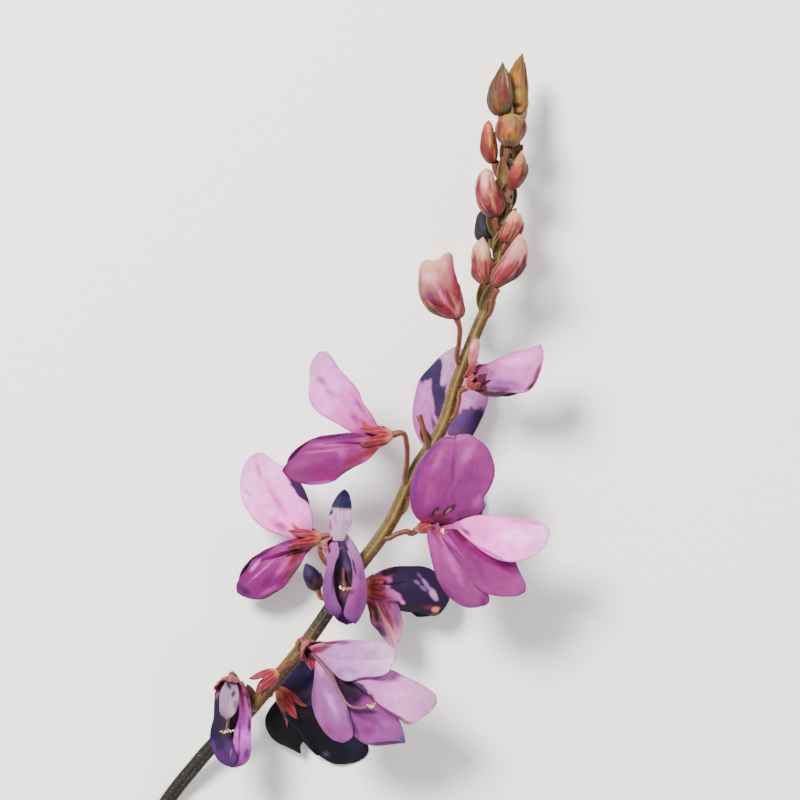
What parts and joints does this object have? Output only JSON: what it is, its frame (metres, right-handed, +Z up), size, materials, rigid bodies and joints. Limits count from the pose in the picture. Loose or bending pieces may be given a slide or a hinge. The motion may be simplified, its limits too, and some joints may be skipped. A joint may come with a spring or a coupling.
{
  "type": "desmodium flower",
  "caption": "Cut raceme of pink pea-type flowers, each with standard, wings and keel in a red calyx, on a ridged stem that ends in a spike of buds; lies flat as picked.",
  "frame": {"origin": "centre of the bounding box on the surface that the spray lies on", "axes": "+Y along the spray from the cut end to the tip of the bud spike, +Z up from the surface, +X to the right of the picture"},
  "size_m": [0.0498, 0.0962, 0.0185],
  "materials": {
    "stem": "fresh, ridged, finely hairy herb stem, olive with red-brown strands",
    "calyx": "thin red sepals with pale stripes, matt and downy",
    "petal_pale": "thin satin petal, pale lilac pink with fine veins",
    "petal_deep": "thin satin petal, magenta with darker veins",
    "petal_dusk": "thin satin petal, deep blue violet of an older flower",
    "bud_pink": "closed bud, pale pink tip above a red-striped calyx",
    "bud_green": "young closed bud in its yellow-green calyx"
  },
  "bodies": {
    "root": {"rachis": "stem", "flower_01_calyx": "calyx", "flower_01_standard": "petal_pale", "flower_01_wings_keel": "petal_deep", "flower_02_calyx": "calyx", "flower_02_standard": "petal_dusk", "flower_02_wings_keel": "petal_dusk", "flower_03_calyx": "calyx", "flower_03_standard": "petal_pale", "flower_03_wings_keel": "petal_deep", "flower_04_calyx": "calyx", "flower_04_standard": "petal_pale", "flower_04_wings_keel": "petal_dusk", "flower_05_calyx": "calyx", "flower_05_standard": "petal_pale", "flower_05_wings_keel": "petal_deep", "flower_06_calyx": "calyx", "flower_06_standard": "petal_pale", "flower_06_wings_keel": "petal_deep", "flower_07_calyx": "calyx", "flower_07_standard": "petal_pale", "flower_07_wings_keel": "petal_deep", "flower_08_calyx": "calyx", "flower_08_standard": "petal_pale", "flower_08_wings_keel": "petal_deep", "flower_09_calyx": "calyx", "flower_09_standard": "petal_pale", "flower_09_wings_keel": "petal_deep", "flower_10_calyx": "calyx", "flower_10_standard": "petal_pale", "flower_10_wings_keel": "petal_deep", "withered_calyx": "calyx", "bud_01": "bud_pink", "bud_02": "bud_pink", "bud_03": "bud_pink", "bud_04": "bud_pink", "bud_05": "bud_pink", "bud_06": "bud_pink", "bud_07": "bud_pink", "bud_08": "bud_pink", "bud_09": "bud_green", "bud_10": "bud_green", "bud_11": "bud_green", "bud_12": "bud_pink", "bud_13": "bud_pink", "bud_14": "bud_green", "bud_15": "petal_dusk"}
  },
  "joints": []
}
